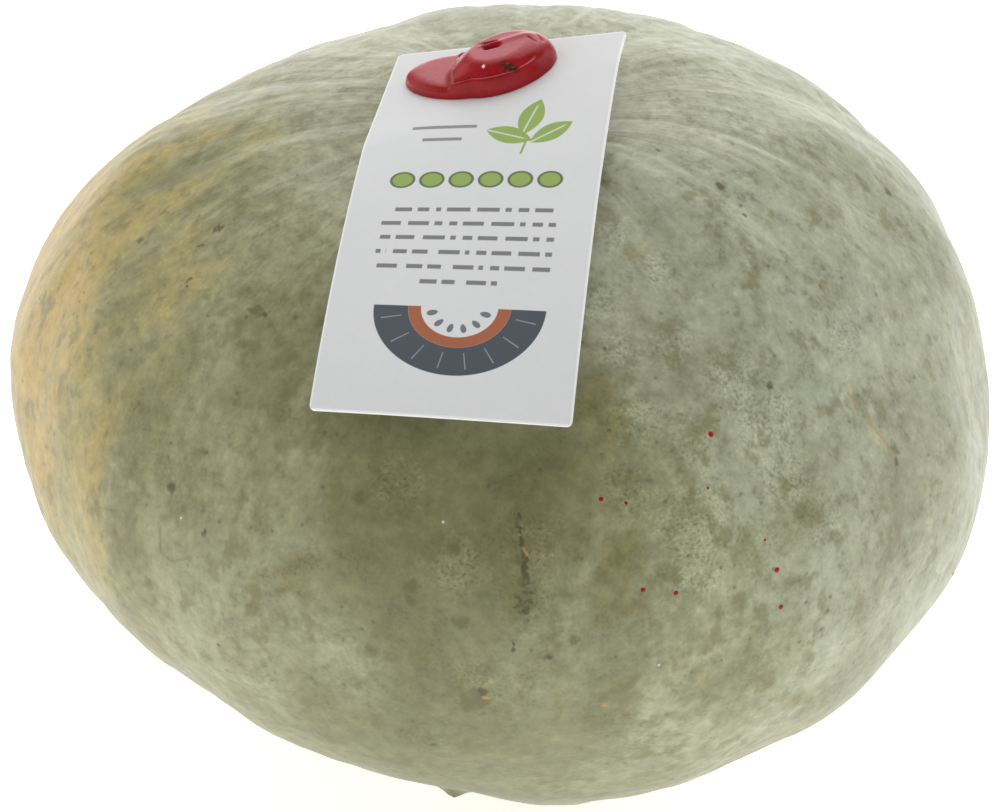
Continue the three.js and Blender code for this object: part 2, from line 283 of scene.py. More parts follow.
def sight_line(x, y):
    """Way from the camera through a pixel of the picture's 1000 x 812 frame, counted from its top left."""
    across = (x - 500) / (LENS_WIDTHS * 1000)
    down = (y - 406) / (LENS_WIDTHS * 1000)
    return (tilted_side * across - tilted_rise * down - sight).normalized()


def on_fruit(x, y):
    """The place on the fruit's skin that the camera sees at a pixel, and the way out there."""
    return fruit.ray_cast(eye, sight_line(x, y))[1:3]


def round_spots(spots):
    """The largest, at each point of the skin, of soft round spots given by pixel and radius in mm."""
    field = np.zeros(polar.shape)
    for x, y, radius in spots:
        gap = np.linalg.norm(skin - np.array(on_fruit(x, y)[0]) / MM, axis=-1)
        field = np.maximum(field, 1 - smooth(gap / radius, 0.2, 1.3))
    return field


def toward(azimuth, latitude, full, none):
    """1 where the way out is within `full` degrees of a direction, falling to 0 at `none` degrees."""
    angle = np.degrees(np.arccos(np.clip(outward @ direction(azimuth, latitude), -1, 1)))
    return 1 - smooth(angle, full, none)


# Broad colour of the rind, point by point: where a place lies along the ribs (round the stem, and how far
# down), how cloudy, tan or olive it is, with painted light and shade in the cloud and olive shares, how grey,
# silky or worn its bloom is, and how stained or warm.
rib_way = np.stack((np.cos(turn), np.sin(turn), polar), axis=-1)
rib_place = rib_way * (60, 60, 24)
drawn_out = mottle(rib_place, 9, 0.6)
cloud_and_light_share = 0.5 + 0.13 * mottle(skin * (1, 1, 0.8), 22, 0.9) + 0.12 * drawn_out
# Painted light and shade: the first spots pale the lower left and right sides, the second darken the lower
# front and the left middle.
cloud_and_light_share += 0.2 * round_spots(((248, 602, 26), (195, 575, 20), (800, 610, 24)))
cloud_and_light_share -= 0.15 * round_spots(((450, 620, 24), (700, 650, 18), (275, 345, 30), (235, 480, 20)))
tan_reach = toward(188, 9, 2, 52)
tan_share = tan_reach + smooth(tan_reach, 0, 0.2) * (0.16 * drawn_out + 0.12 * mottle(skin, 17, 4.0))
# The olive band down the front, olive tone and painted shade of the unlit front, is a bell across the fruit
# that fades at the shoulder and at the foot.
BAND_X = -9
BAND_REACH = 37
olive_shade_band = np.exp(-((skin[..., 0] - BAND_X) / BAND_REACH) ** 2) * smooth(-outward[..., 1], 0.1, 0.6)
olive_shade_band *= smooth(outward[..., 2], -1.0, -0.55) * (1 - smooth(outward[..., 2], 0.35, 0.7))
olive_and_shade_share = olive_shade_band + 0.2 * mottle(skin, 20, 3.1)
warm_share = toward(-160, 10, 15, 70)
grey_share = np.maximum(toward(20, 12, 15, 100), 0.9 * toward(-48, 42, 10, 40))
silk_share = smooth(outward[..., 2], 0.3, 0.92) * (0.55 + 0.45 * mottle(rib_place, 15, 5.0))
worn_share = round_spots((
    (527, 540, 11), (525, 600, 11), (620, 355, 7), (672, 345, 8), (735, 385, 12), (768, 415, 11),
    (635, 420, 9), (690, 440, 9), (700, 520, 13), (690, 565, 12), (630, 490, 8), (790, 480, 10),
    (845, 335, 8), (480, 690, 11), (460, 560, 9), (395, 485, 9), (760, 545, 8), (820, 520, 9),
    (610, 235, 6), (655, 270, 6), (600, 300, 6)))
stain_share = round_spots((
    (527, 600, 3.4), (520, 610, 2.4), (524, 583, 2.2), (460, 622, 2.6), (411, 588, 2.6), (413, 602, 1.8),
    (893, 450, 2.4), (476, 700, 4.0), (466, 706, 2.4), (257, 311, 2.2), (452, 547, 2.4), (372, 650, 2.6),
    (575, 640, 2.0), (360, 497, 2.2), (520, 560, 2.0)))
ochre_share = round_spots((
    (598, 395, 5), (608, 425, 5), (604, 455, 5.5), (598, 480, 5), (612, 505, 5), (618, 540, 5.5),
    (616, 575, 5.5), (610, 605, 5), (585, 470, 4), (795, 700, 5), (640, 250, 4), (300, 577, 6)))
stain_share = np.maximum(stain_share, 1 - smooth(scar_place, 0.3, 0.9))
for name, values in (
        ("rib_way", rib_way), ("tints", np.stack((cloud_and_light_share, tan_share, olive_and_shade_share), axis=-1)),
        ("blooms", np.stack((grey_share, silk_share, worn_share), axis=-1)),
        ("stains", np.stack((stain_share, ochre_share, warm_share), axis=-1))):
    values = values.reshape(-1, 3)
    store(fruit, name, np.vstack((values[:1], values, values[-1:])))


class Paint:
    """A value or colour inside a material. Arithmetic on it adds Math nodes, and plain numbers join in."""

    def __init__(self, tree, source):
        self.tree = tree
        self.source = source

    def node(self, kind, settings, sockets, output=0):
        """Adds a node with its settings, fills its sockets with numbers or links, and gives an output."""
        made = self.tree.nodes.new(kind)
        for name, value in settings.items():
            if name == "stops":
                while len(made.color_ramp.elements) < len(value):
                    made.color_ramp.elements.new(0.5)
                for stop, (place, tone) in zip(made.color_ramp.elements, value):
                    stop.position = place
                    stop.color = (*tone, 1)
            else:
                setattr(made, name, value)
        for name, value in sockets.items():
            if isinstance(value, Paint):
                self.tree.links.new(value.source, made.inputs[name])
            elif value is not None:
                made.inputs[name].default_value = value
        return Paint(self.tree, made.outputs[output])

    def math(self, operation, *others):
        return self.node("ShaderNodeMath", {"operation": operation}, dict(enumerate((self, *others))))

    def __add__(self, other):
        return self.math("ADD", other)

    def __sub__(self, other):
        return self.math("SUBTRACT", other)

    def __rsub__(self, other):
        return self.math("MULTIPLY", -1.0).math("ADD", other)

    def __mul__(self, other):
        return self.math("MULTIPLY", other)

    def __truediv__(self, other):
        return self.math("DIVIDE", other)

    def __abs__(self):
        return self.math("ABSOLUTE")

    __radd__ = __add__
    __rmul__ = __mul__

    def larger(self, other):
        return self.math("MAXIMUM", other)

    def ramp(self, low, high):
        """0 below `low`, 1 above `high`, smooth between; with low above high it falls instead."""
        start, stop, first, last = (low, high, 0.0, 1.0) if low < high else (high, low, 1.0, 0.0)
        return self.node(
            "ShaderNodeMapRange", {"interpolation_type": "SMOOTHSTEP", "clamp": True},
            {"Value": self, "From Min": start, "From Max": stop, "To Min": first, "To Max": last})

    def vector(self, operation, *others, output=0):
        sockets = dict(enumerate((self, *others)))
        return self.node("ShaderNodeVectorMath", {"operation": operation}, sockets, output)

    def scaled(self, factor):
        """This vector or colour times a number."""
        return self.node(
            "ShaderNodeVectorMath", {"operation": "SCALE"}, {"Vector": self, "Scale": factor})

    def length(self):
        return self.vector("LENGTH", output="Value")

    def parts(self):
        """The three numbers of a vector."""
        return [self.node("ShaderNodeSeparateXYZ", {}, {"Vector": self}, axis) for axis in "XYZ"]

    def noise(self, scale, detail=3.0, rough=0.5, bend=0.0):
        """Noise at this place, about 0 to 1, whose lumps are 1 / scale wide."""
        return self.node(
            "ShaderNodeTexNoise", {},
            {"Vector": self, "Scale": scale, "Detail": detail, "Roughness": rough, "Distortion": bend})

    def cells(self, scale):
        """Distance to the nearest of scattered points that lie about 1 / scale apart."""
        return self.node("ShaderNodeTexVoronoi", {"feature": "F1"}, {"Vector": self, "Scale": scale})

    def tinted(self, *stops):
        """The colour at this place among stops, each a place from 0 to 1 and a colour."""
        return self.node("ShaderNodeValToRGB", {"stops": stops}, {"Fac": self})

    def over(self, tone, share):
        """This colour with `tone` laid over it by `share`."""
        second = tone if isinstance(tone, Paint) else (*tone, 1.0)
        return self.node(
            "ShaderNodeMix", {"data_type": "RGBA"}, {0: share, 6: self, 7: second}, 2)


def new_finish(name, **constants):
    """A material, its shader with constant sockets set, and its object coordinates as a Paint."""
    finish = bpy.data.materials.new(name)
    finish.use_nodes = True
    tree = finish.node_tree
    shader = tree.nodes["Principled BSDF"]
    for socket, value in constants.items():
        shader.inputs[socket.replace("_", " ")].default_value = value
    place = Paint(tree, tree.nodes.new("ShaderNodeTexCoord").outputs["Object"])
    return finish, shader, place


def attribute(place, name):
    """A vector stored on the mesh, as a Paint in the material that `place` is in."""
    return place.node("ShaderNodeAttribute", {"attribute_name": name}, {}, "Vector")


def spread_paint(shader, **sockets):
    """Links each Paint to the shader's socket of that name."""
    for socket, paint in sockets.items():
        paint.tree.links.new(paint.source, shader.inputs[socket.replace("_", " ")])


def blot(place, x, y, radius):
    """1 at the place seen at a pixel, falling to 0 at `radius` millimetres from it."""
    gap = place.vector("DISTANCE", tuple(on_fruit(x, y)[0]), output="Value")
    return gap.ramp(radius * MM, 0.3 * radius * MM)


def scratch(place, from_pixel, to_pixel, radius):
    """1 on the straight line between two pixels' places, falling to 0 at `radius` millimetres from it. The
    gap is to the line's nearest point, start + (way . line / line . line) line, kept within its ends."""
    start = on_fruit(*from_pixel)[0]
    line = on_fruit(*to_pixel)[0] - start
    way_in = place.vector("SUBTRACT", tuple(start))
    run = way_in.vector("DOT_PRODUCT", tuple(line / line.dot(line)), output="Value")
    run = run.larger(0.0).math("MINIMUM", 1.0)
    nearest = place.node(
        "ShaderNodeVectorMath", {"operation": "SCALE"}, {"Vector": tuple(line), "Scale": run})
    return way_in.vector("DISTANCE", nearest, output="Value").ramp(radius * MM, 0.3 * radius * MM)


def all_of(masks):
    """The largest of several masks at each place."""
    whole = masks[0]
    for mask in masks[1:]:
        whole = whole.larger(mask)
    return whole


rind, rind_shader, place = new_finish(
    "rind_bloom", IOR=1.45, Sheen_Weight=0.1, Sheen_Roughness=0.45, Sheen_Tint=(1.0, 0.99, 0.76, 1.0))
way = attribute(place, "rib_way")
cloudy_and_lit, tan, olive_and_shade = attribute(place, "tints").parts()
grey, silky, rubbed = attribute(place, "blooms").parts()
stained, ochre, warm = attribute(place, "stains").parts()

# Grey-green with olive clouds, a little drawn out along the ribs.
clouds = place.vector("MULTIPLY", (1.0, 1.0, 0.85)).noise(70, 4, 0.62, 0.6)
silk = way.vector("MULTIPLY", (34.0, 34.0, 8.0)).noise(1.0, 3, 0.62, 0.7)
grain = place.noise(330, 2.5, 0.65)
pinheads = place.noise(1400, 1.5, 0.6)
# The cloud share also carries painted light on the lower sides and painted shade low on the front.
tone = (cloudy_and_lit * 0.6 + clouds * 0.8 - 0.2 + (grain - 0.5) * 0.3).ramp(0.2, 0.8)
base = tone.tinted(
    (0.0, (0.230, 0.232, 0.112)), (0.5, (0.315, 0.325, 0.190)), (1.0, (0.405, 0.432, 0.290)))

# The right side is greyer and paler, the left front warmer, the front more olive and darker, partly painted
# shade, with ochre clouds.
base = base.over((0.410, 0.450, 0.335), grey * (0.2 + clouds * 0.6))
# Olive tone and painted shade down the front.
base = base.over((0.172, 0.172, 0.074), (olive_and_shade + (clouds - 0.5) * 0.8).ramp(0.1, 1.15) * 0.85)
base = base.over((0.240, 0.215, 0.090), warm * (0.95 - clouds * 0.75))
base = base.over((0.225, 0.205, 0.073), (clouds - ochre * 0.32).ramp(0.42, 0.12) * 0.65)

# Tan where it lay: the left flank, with a ragged edge of yellow-olive.
tan_edge = tan + (clouds - 0.5) * 0.5 + (silk - 0.5) * 0.2
base = base.over((0.340, 0.300, 0.105), tan_edge.ramp(-0.05, 0.5) * 0.8)
base = base.over((0.495, 0.340, 0.088), (tan_edge + (grain - 0.5) * 0.5).ramp(0.15, 1.05) * 0.94)

# Pale bloom: silky streaks that fan out from the stem over the shoulder, thin lower down.
base = base.over((0.560, 0.580, 0.450), silk.ramp(0.42, 0.72) * silky * 0.45)
base = base.over((0.200, 0.200, 0.110), silk.ramp(0.46, 0.25) * silky * 0.35)

# Worn patches the colour of salt and pepper; dark specks and ragged olive freckles a few millimetres across.
worn = (rubbed + (clouds - 0.5) * 1.6 + (grain - 0.5) * 0.8).ramp(0.4, 1.2)
salt = pinheads.ramp(0.52, 0.66) * worn.larger(clouds.ramp(0.55, 0.7) * 0.2)
pepper = pinheads.ramp(0.45, 0.32) * worn.larger(clouds.ramp(0.5, 0.35) * 0.4)
fineness = 1.0 + (grain - 0.5) * 0.75 + (pinheads - 0.5) * 0.3 + (clouds - 0.5) * 0.35
base = base.scaled(fineness + salt * 0.2 - pepper * 0.32)
base = base.over((0.150, 0.155, 0.070), grain.ramp(0.38, 0.26) * 0.4)
specks = place.cells(260).ramp(0.17, 0.06) * grain.ramp(0.54, 0.44)
freckles = place.vector("MULTIPLY", (1.0, 1.0, 0.75)).noise(150, 3, 0.7).ramp(0.52, 0.68)
base = base.over((0.090, 0.100, 0.040), specks * 0.6)
base = base.over((0.172, 0.162, 0.056), freckles * 0.6)

# Marks that the fruit got as it grew: olive stains, brown scabs, healed lines, a crack with a dark green
# stain below it, tan scratches, bare tan dots and pale flecks. Most have ragged edges: the place that they
# are measured at wavers by half a millimetre or so.
WAVER = 0.0022
waver = place.node("ShaderNodeTexNoise", {}, {"Vector": place, "Scale": 600.0, "Detail": 1.0}, "Color")
ragged = place.vector("ADD", waver.vector("SUBTRACT", (0.5, 0.5, 0.5)).scaled(WAVER))
scabs = all_of([
    blot(ragged, x, y, radius) for x, y, radius in (
        (220, 227, 1.5), (214, 230, 1.0), (190, 280, 1.1), (187, 287, 0.9), (200, 247, 0.8),
        (172, 487, 1.9), (205, 532, 1.2), (265, 315, 1.2), (141, 240, 1.2), (433, 745, 1.2),
        (720, 186, 1.0), (744, 214, 0.8), (658, 150, 0.9), (888, 192, 1.5), (924, 210, 1.2),
        (548, 657, 1.2), (896, 462, 1.2), (483, 692, 1.5), (770, 386, 1.2), (219, 645, 0.9))])
cracks = all_of([
    scratch(ragged, start, end, width) for start, end, width in (
        ((518, 515), (521, 545), 0.6), ((525, 553), (525, 584), 0.8), ((513, 640), (516, 652), 0.5))])
green_stain = all_of([
    blot(ragged, x, y, radius) for x, y, radius in (
        (525, 596, 2.6), (521, 609, 2.5), (532, 590, 1.8), (516, 596, 1.7), (534, 603, 1.4))])
healed = all_of([
    scratch(place, start, end, width) for start, end, width in (
        ((100, 508), (116, 511), 0.5), ((160, 530), (161, 552), 0.5), ((161, 552), (172, 562), 0.5),
        ((172, 562), (187, 558), 0.5), ((362, 502), (370, 507), 0.5))])
flecks = all_of([blot(place, x, y, 0.4) for x, y in ((443, 522), (659, 665), (181, 518))])
bare = all_of(
    [scratch(place, start, end, width) for start, end, width in (
        ((848, 393), (857, 407), 0.42), ((867, 418), (894, 455), 0.45), ((524, 549), (527, 554), 0.5))]
    + [blot(ragged, x, y, radius) for x, y, radius in (
        (487, 697, 0.9), (703, 685, 0.9), (519, 533, 0.6), (221, 224, 0.6), (604, 705, 0.8))])
stain_edge = stained + (grain - 0.5) * 2.2 + (pinheads - 0.5) * 0.8
base = base.over((0.125, 0.125, 0.045), stained.ramp(0.0, 0.3) * stain_edge.ramp(0.4, 0.95) * 0.8)
green_edge = (green_stain * 0.7 + (grain - 0.5) * 2.2 + (pinheads - 0.5) * 1.6).ramp(0.25, 1.0)
base = base.over((0.060, 0.070, 0.020), green_stain.ramp(0.0, 0.3) * green_edge * 0.8)
base = base.over((0.085, 0.070, 0.030), scabs * 0.8)
base = base.over((0.075, 0.070, 0.030), cracks * 0.85)
base = base.over((0.430, 0.275, 0.105), bare * 0.8)
base = base.over((0.160, 0.150, 0.080), healed * 0.35)
base = base.over((0.720, 0.740, 0.700), flecks * 0.8)

bump = place.node(
    "ShaderNodeBump", {}, {"Strength": 0.3, "Distance": 0.0006, "Height": silk * silky * 0.8 + grain * 0.6})
gloss = 0.33 + clouds * 0.16
spread_paint(rind_shader, Base_Color=base, Roughness=gloss, Normal=bump)
fruit.data.materials.append(rind)
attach(fruit, "root")
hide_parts("squash")

# The stem: a short corky stub, cut off above the card. It flares where it grows out of the hollow, and has
# five blunt ridges, deep cracks along its length and a tan, weathered skin.
STUB_FOOT_RADIUS = 12.5
STUB_END_RADIUS = 4.9
STUB_SINK = 4.0
STUB_ABOVE_CARD = 1.5
STUB_RIDGES = 5
STUB_RIDGE_DEPTH = 0.06
STUB_TURNS = 160
STUB_RINGS = 70
CARD_TOP = np.array((-6.0, -6.8, REST_DEPTH + 84.5))

stub_foot = ends[0, 2]
stub_height = CARD_TOP[2] - stub_foot + STUB_ABOVE_CARD
# The side's line is a cubic curve from the flared foot to the straight neck, then a rounded end.
t = np.linspace(0, 1, STUB_RINGS - 6)
bends = np.array((
    (STUB_FOOT_RADIUS, 0), (STUB_FOOT_RADIUS * 0.62, 0.18 * stub_height),
    (STUB_END_RADIUS * 1.15, 0.45 * stub_height), (STUB_END_RADIUS, stub_height - 1)))
weights = np.stack(((1 - t) ** 3, 3 * t * (1 - t) ** 2, 3 * t * t * (1 - t), t ** 3), axis=-1)
corner = np.linspace(0, math.pi / 2, 6)[1:]
top_edge = np.stack((STUB_END_RADIUS - 1 + np.cos(corner), stub_height - 1 + np.sin(corner)), axis=-1)
buried_foot = (STUB_FOOT_RADIUS * 0.9, -STUB_SINK)
profile = np.vstack((buried_foot, weights @ bends, top_edge, (1.5, stub_height)))[::-1]
stub_turn = 2 * np.pi * np.arange(STUB_TURNS) / STUB_TURNS
radius = profile[:, :1] * (1 + STUB_RIDGE_DEPTH * np.cos(STUB_RIDGES * stub_turn))
height = profile[:, 1:] + np.zeros(STUB_TURNS)
# Cracks along the stub: narrow notches round it that wander and come and go with the height.
crack_turn = stub_turn + 0.05 * np.sin(height * 0.9) + 0.03 * np.sin(height * 2.3 + 1)
cracks = (1 - np.abs(np.sin(8.5 * crack_turn))) ** 6 + 0.6 * (1 - np.abs(np.sin(13.5 * crack_turn + 1))) ** 6
radius = radius - 0.35 * cracks * smooth(height, -1, 2) * (1 - smooth(height, stub_height - 1.5, stub_height))
stub_points = np.stack((
    STEM_X + radius * np.cos(stub_turn), STEM_Y + radius * np.sin(stub_turn), stub_foot + height), axis=-1)
stub = closed_rings(
    "stem_stub", np.array((STEM_X, STEM_Y, stub_foot + stub_height)), stub_points,
    np.array((STEM_X, STEM_Y, stub_foot - STUB_SINK)))

cork, cork_shader, place = new_finish("cork_stem", Specular_IOR_Level=0.25)
grain = place.vector("MULTIPLY", (1.0, 1.0, 0.25)).noise(420, 5, 0.65)
dents = place.noise(900, 3, 0.6)
tone = (grain * 0.75 + dents * 0.25).tinted(
    (0.3, (0.105, 0.062, 0.026)), (0.5, (0.300, 0.205, 0.105)), (0.7, (0.470, 0.370, 0.225)))
bump = place.node("ShaderNodeBump", {}, {"Strength": 0.7, "Distance": 0.0008, "Height": grain + dents * 0.5})
spread_paint(cork_shader, Base_Color=tone, Roughness=0.7 + grain * 0.25, Normal=bump)
stub.data.materials.append(cork)
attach(stub, "root")
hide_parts("stem")

# The card: stiff coated stock, 50 x 100 mm, that bends over the shoulder along lines askew to its sides. It
# hangs on the stem stub by a round hole, and the wax holds it there.
CARD_WIDTH = 50.0
CARD_LENGTH = 100.0
CARD_THICKNESS = 0.6
CARD_CORNER = 1.1
CARD_HEADING = math.radians(16.0)
CARD_TILT = math.radians(17.7)
CARD_SKEW = math.radians(-25.1)
CARD_SLOPE = math.radians(3.1)
CARD_FLAT = 18.9
CARD_BEND = math.radians(9.8)
CARD_BEND_LENGTH = 4.1
CARD_CURL = math.radians(0.265)
CARD_HOLE = np.array((1.3, 12.5))      # across and down
CARD_HOLE_RADIUS = 6.7
CARD_SIDE_STEPS = 110
CARD_END_STEPS = 56
CARD_CORNER_STEPS = 8
CARD_STEPS = 90


def bent_way(distance):
    """Forward, drop and slope after `distance` over the bend lines: a straight stretch, a short tight arc,
    and a long arc that curls on; an arc of curl c from slope a runs (sin(a + c s) - sin a) / c ahead."""
    straight = np.minimum(distance, CARD_FLAT)
    forward = straight * math.cos(CARD_SLOPE)
    drop = straight * math.sin(CARD_SLOPE)
    slope = np.full_like(distance, CARD_SLOPE)
    left = distance - straight
    for length, curl in ((CARD_BEND_LENGTH, CARD_BEND / CARD_BEND_LENGTH), (2 * CARD_LENGTH, CARD_CURL)):
        run = np.clip(left, 0, length)
        turned = slope + curl * run
        forward = forward + (np.sin(turned) - np.sin(slope)) / curl
        drop = drop + (np.cos(slope) - np.cos(turned)) / curl
        slope = turned
        left = left - run
    return forward, drop, slope


def card_points(across, down, above):
    """Places by the card, from its own flat coordinates: across from its middle line, down from its top edge
    and above its middle surface."""
    line = np.array((
        math.cos(CARD_HEADING) * math.cos(CARD_TILT), math.sin(CARD_HEADING) * math.cos(CARD_TILT),
        math.sin(CARD_TILT)))
    ahead = np.array((math.sin(CARD_HEADING), -math.cos(CARD_HEADING), 0))
    above_line = np.cross(line, -ahead)
    above_line /= np.linalg.norm(above_line)
    across, down, above = np.broadcast_arrays(across, down, above)
    along_line = across * math.cos(CARD_SKEW) + down * math.sin(CARD_SKEW)
    forward, drop, slope = bent_way(down * math.cos(CARD_SKEW) - across * math.sin(CARD_SKEW))
    return (
        CARD_TOP
        + along_line[..., None] * line
        + (forward + above * np.sin(slope))[..., None] * ahead
        + (above * np.cos(slope) - drop)[..., None] * above_line)


def card_edge():
    """Places across and down round the card's outline, with the corners' arcs: each side in even steps from
    the end of one arc to the start of the next, and each arc in even turns about its middle."""
    half = CARD_WIDTH / 2 - CARD_CORNER
    middles = np.array((
        (half, CARD_CORNER), (half, CARD_LENGTH - CARD_CORNER),
        (-half, CARD_LENGTH - CARD_CORNER), (-half, CARD_CORNER)))
    turns = np.linspace(-math.pi / 2, 0, CARD_CORNER_STEPS) + np.arange(4)[:, None] * math.pi / 2
    arcs = middles[:, None] + CARD_CORNER * np.stack((np.cos(turns), np.sin(turns)), axis=-1)
    parts = []
    for number in range(4):
        steps = (CARD_SIDE_STEPS, CARD_END_STEPS)[number % 2]
        way = np.linspace(0, 1, steps + 1)[1:-1, None]
        start, end = arcs[number][-1], arcs[(number + 1) % 4][0]
        parts += [arcs[number], start + (end - start) * way]
    return np.concatenate(parts)


# The sheet's grid runs from the hole out to the edge over the top, and back to the hole along the underside.
outline = card_edge()
spokes = len(outline)
ray = outline - CARD_HOLE
hole_edge = CARD_HOLE + CARD_HOLE_RADIUS * ray / np.linalg.norm(ray, axis=-1, keepdims=True)
share = np.linspace(0, 1, CARD_STEPS)[:, None, None]
flat = hole_edge + (outline - hole_edge) * share
flat = np.concatenate((flat, flat[::-1]))
above = np.repeat((CARD_THICKNESS / 2, -CARD_THICKNESS / 2), CARD_STEPS)[:, None] + np.zeros(spokes)
sheet = card_points(flat[..., 0], flat[..., 1], above)
rows = len(sheet)
row, column = np.meshgrid(np.arange(rows), np.arange(spokes), indexing="ij")
next_row = (row + 1) % rows
next_column = (column + 1) % spokes
corners = np.stack((
    row * spokes + column, row * spokes + next_column,
    next_row * spokes + next_column, next_row * spokes + column), axis=-1)
card = new_piece("hang_card", sheet.reshape(-1, 3), corners.reshape(-1, 4).tolist())
card.data.set_sharp_from_angle(angle=math.radians(40))
store(card, "printing", np.concatenate((flat, above[..., None]), axis=-1))

stock, stock_shader, place = new_finish("card_stock", Specular_IOR_Level=0.35)
across, down, depth = attribute(place, "printing").parts()
printed = depth.ramp(0.1, 0.25)
INK_EDGE = 0.09
GREEN_INK = (0.300, 0.440, 0.100)
DARK_INK = (0.085, 0.100, 0.075)
GREY_INK = (0.120, 0.120, 0.130)
SLATE_INK = (0.075, 0.088, 0.110)
RUST_INK = (0.410, 0.130, 0.055)


def within(value, low, high):
    """1 where a value in millimetres is between two others, with an edge as soft as ink's."""
    return value.ramp(low - INK_EDGE, low + INK_EDGE) * value.ramp(high + INK_EDGE, high - INK_EDGE)


def leaf(middle_across, middle_down, turn, half_length, half_width):
    """A pointed leaf and its midrib: its half width falls as 1 - (place along it / half length)^2."""
    a = across - middle_across
    d = down - middle_down
    along = a * math.cos(turn) + d * math.sin(turn)
    off = abs(d * math.cos(turn) - a * math.sin(turn))
    width = 1 - (along / half_length) * (along / half_length)
    blade = (width * half_width - off).ramp(-INK_EDGE, INK_EDGE)
    rib = off.ramp(0.28, 0.12) * along.ramp(0.8 * half_length, 0.5 * half_length)
    return blade * (1 - rib * 0.8)


# A sprig of three green leaves with two short grey rules beside it.
sprig = all_of([
    leaf(9.0, 27.6, math.radians(-75), 5.4, 2.5), leaf(5.0, 32.6, math.radians(18), 5.2, 2.3),
    leaf(13.6, 32.0, math.radians(-35), 5.0, 2.2)])
sprig = sprig.larger(within(across + (down - 35) * 0.18, 8.4, 8.9) * within(down, 34.2, 38.0))
rules = within(across, -15.5, -2.0) * within(down, 29.4, 30.3)
rules = rules + within(across, -12.8, -4.6) * within(down, 33.0, 33.9)

# A heading of six green beads, a little wider than high, with dark rims.
HEADING_DOWN = 44.8
BEAD_PITCH = 6.0
BEAD_RADIUS = 2.2
BEAD_RIM_RADIUS = 1.75
bead_across = ((across / BEAD_PITCH).math("FRACT") - 0.5) * BEAD_PITCH
bead_gap = place.node(
    "ShaderNodeCombineXYZ", {}, {"X": bead_across * 0.85, "Y": down - HEADING_DOWN}).length()
heading = within(across, -3 * BEAD_PITCH, 3 * BEAD_PITCH)
bead = bead_gap.ramp(BEAD_RADIUS + INK_EDGE, BEAD_RADIUS - INK_EDGE) * heading
bead_rim = bead_gap.ramp(BEAD_RIM_RADIUS - INK_EDGE, BEAD_RIM_RADIUS + INK_EDGE) * bead

# Six rows of grey dashes, each row a little different, the last one short.
ROWS_DOWN = 51.6
ROW_PITCH = 3.55
row_place = (down - ROWS_DOWN) / ROW_PITCH
row_number = row_place.math("FLOOR")
row_down = (row_place - row_number) * ROW_PITCH
wide_gaps = (across / 8.3 + row_number * 0.618 + 10).math("FRACT").ramp(0.15, 0.17)
narrow_gaps = (across / (5.9 - row_number * 0.21) + row_number * 0.377 + 10).math("FRACT").ramp(0.18, 0.2)
dashes = (wide_gaps * narrow_gaps).ramp(0.75, 1.0)
last_row = row_number.ramp(4.4, 4.6)
row_reach = (abs(across) + last_row * 9.0).ramp(17.6, 17.4)
dashes = dashes * row_reach * within(row_down, 0.6, 1.6) * within(row_number, -0.5, 5.5)

# A cut slice of squash: slate rind with pale lines, rust flesh, and seeds in the hollow.
SLICE_DOWN = 76.2
SLICE_RADIUS = 16.8
FLESH_RADIUS = 10.0
SEED_HOLLOW_RADIUS = 7.5
SEED_RADIUS = 5.4                       # how far out the seeds lie
slice_across = across - 1.0
slice_down = down - SLICE_DOWN
slice_gap = place.node("ShaderNodeCombineXYZ", {}, {"X": slice_across, "Y": slice_down * 1.12}).length()
slice_turn = slice_down.math("ARCTAN2", slice_across) / math.pi
lower = slice_down.ramp(-INK_EDGE, INK_EDGE)
slice_rind = within(slice_gap, FLESH_RADIUS, SLICE_RADIUS) * lower
slice_spoke = abs((slice_turn * 8).math("FRACT") - 0.5).ramp(0.035, 0.015)
slice_line = slice_spoke * within(slice_gap, FLESH_RADIUS + 1.4, SLICE_RADIUS - 1.4) * lower
slice_flesh = within(slice_gap, SEED_HOLLOW_RADIUS, FLESH_RADIUS) * lower
seed_across = ((slice_turn * 6).math("FRACT") - 0.5) * 2.8
seed_out = slice_gap - SEED_RADIUS
seed = (seed_across * seed_across * 2.6 + seed_out * seed_out * 0.8).ramp(1.1, 0.85) * lower

fibre = place.noise(700, 3, 0.6)
sheen = place.noise(45, 2, 0.5)
paper = (fibre * 0.4 + sheen * 0.6).tinted((0.3, (0.745, 0.750, 0.750)), (0.7, (0.790, 0.793, 0.793)))
# The cut edge is whiter, and catches the light half a millimetre in.
rim = (CARD_WIDTH / 2 - abs(across)).ramp(0.5, 0.2)
rim = rim.larger((CARD_LENGTH / 2 - abs(down - CARD_LENGTH / 2)).ramp(0.5, 0.2))
rim = rim.larger(abs(depth).ramp(0.29, 0.2))
paper = paper.over((0.960, 0.960, 0.955), rim * 0.9)
for ink, mask in (
        (GREEN_INK, sprig), (GREY_INK, rules * 0.75), (GREEN_INK, bead), (DARK_INK, bead_rim * 0.8),
        (GREY_INK, dashes * 0.85), (SLATE_INK, slice_rind), ((0.42, 0.45, 0.48), slice_line * 0.6),
        (RUST_INK, slice_flesh), (SLATE_INK, seed * 0.85)):
    paper = paper.over(ink, mask * printed)
spread_paint(stock_shader, Base_Color=paper, Roughness=0.5 + fibre * 0.12)
card.data.materials.append(stock)
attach(card, "root")
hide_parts("label_card")

# The seal: sealing wax poured over the stem stub and the card's hole. It set as a thick dome over the stub
# with a thin tongue to its left, and has the gloss of poured wax.
# Each oval's middle across and down, half width and half length, and its long line's fall per millimetre.
DOME = (0.8, 11.3, 10.6, 9.2, -0.25)
TONGUE = (-9.0, 13.3, 11.8, 7.0, 0.17)
DOME_HEIGHT = 5.9
TONGUE_HEIGHT = 2.7
DOME_CROWN = 0.5                        # where the dome's top starts to fall, in its radii
DOME_END = 1.15                         # and where it has fallen to the tongue's height
WAX_GAP = 0.3
WAX_TURNS = 240
WAX_RINGS = 64


